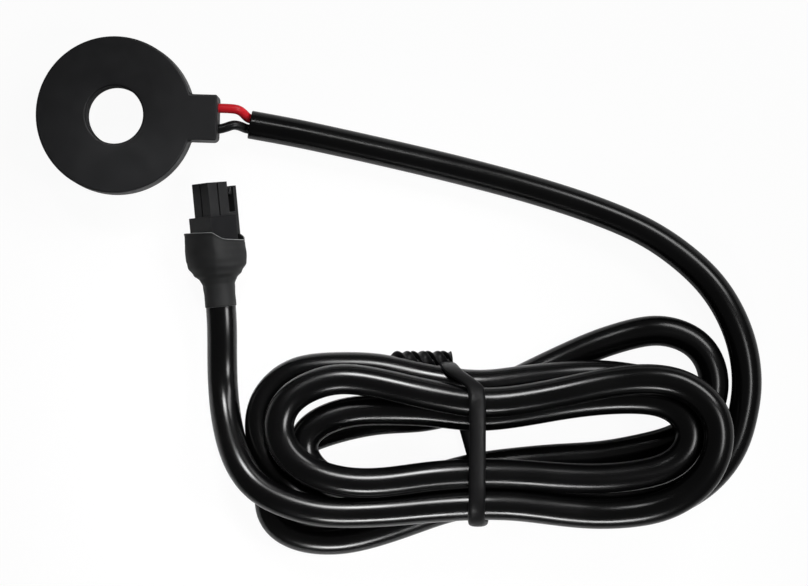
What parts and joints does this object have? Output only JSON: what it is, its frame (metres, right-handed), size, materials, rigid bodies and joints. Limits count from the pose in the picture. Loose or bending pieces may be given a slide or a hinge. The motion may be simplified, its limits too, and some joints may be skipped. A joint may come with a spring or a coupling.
{
  "type": "current transformer",
  "caption": "Solid-core ring current transformer with a through hole, two leads, a jacketed cable coiled in a tied hank and a latching receptacle plug in a heat-shrink boot.",
  "frame": {"origin": "on the through hole's axis, at the back face of the round head", "axes": "+Z along the through hole, out of the front face; +X along the tail that the leads leave; the cable and the plug lie on the plane of the back face, towards +X and -Y"},
  "size_m": [0.1787, 0.1245, 0.0244],
  "materials": {
    "case_plastic": "fine satin moulding",
    "cover_plastic": "fine satin moulding",
    "potting_resin": "cast, glossy",
    "core_strip": "wound strip",
    "core_box": "natural nylon",
    "enamelled_wire": "enamelled copper",
    "tape": "polyester tape",
    "tinned_sleeve": "tinned",
    "copper": "bare copper strands",
    "lead_red": "smooth soft plastic",
    "lead_black": "smooth soft plastic",
    "cable_jacket": "smooth semi-gloss soft plastic",
    "tie_cover": "semi-gloss soft plastic",
    "tie_wire": "galvanised",
    "boot_sleeve": "matte heat-shrink sleeve",
    "plug_plastic": "fine satin moulding",
    "contact_metal": "tinned brass"
  },
  "bodies": {
    "root": {"case": "case_plastic", "back_cover": "cover_plastic", "potting": "potting_resin", "core": "core_strip", "core_tray": "core_box", "core_lid": "core_box", "winding": "enamelled_wire", "outer_tape": "tape", "start_wire": "enamelled_wire", "finish_wire": "enamelled_wire", "splice_red": "tinned_sleeve", "splice_black": "tinned_sleeve", "conductor_red": "copper", "conductor_black": "copper", "lead_red": "lead_red", "lead_black": "lead_black", "cable_head_lead": "cable_jacket", "cable_hank": "cable_jacket", "cable_plug_lead": "cable_jacket", "cable_plug_end": "cable_jacket", "tie_cover": "tie_cover", "tie_wire": "tie_wire", "boot": "boot_sleeve", "plug_wire_red": "lead_red", "plug_wire_black": "lead_black", "terminal_red": "contact_metal", "terminal_black": "contact_metal", "plug_housing": "plug_plastic"}
  },
  "joints": []
}
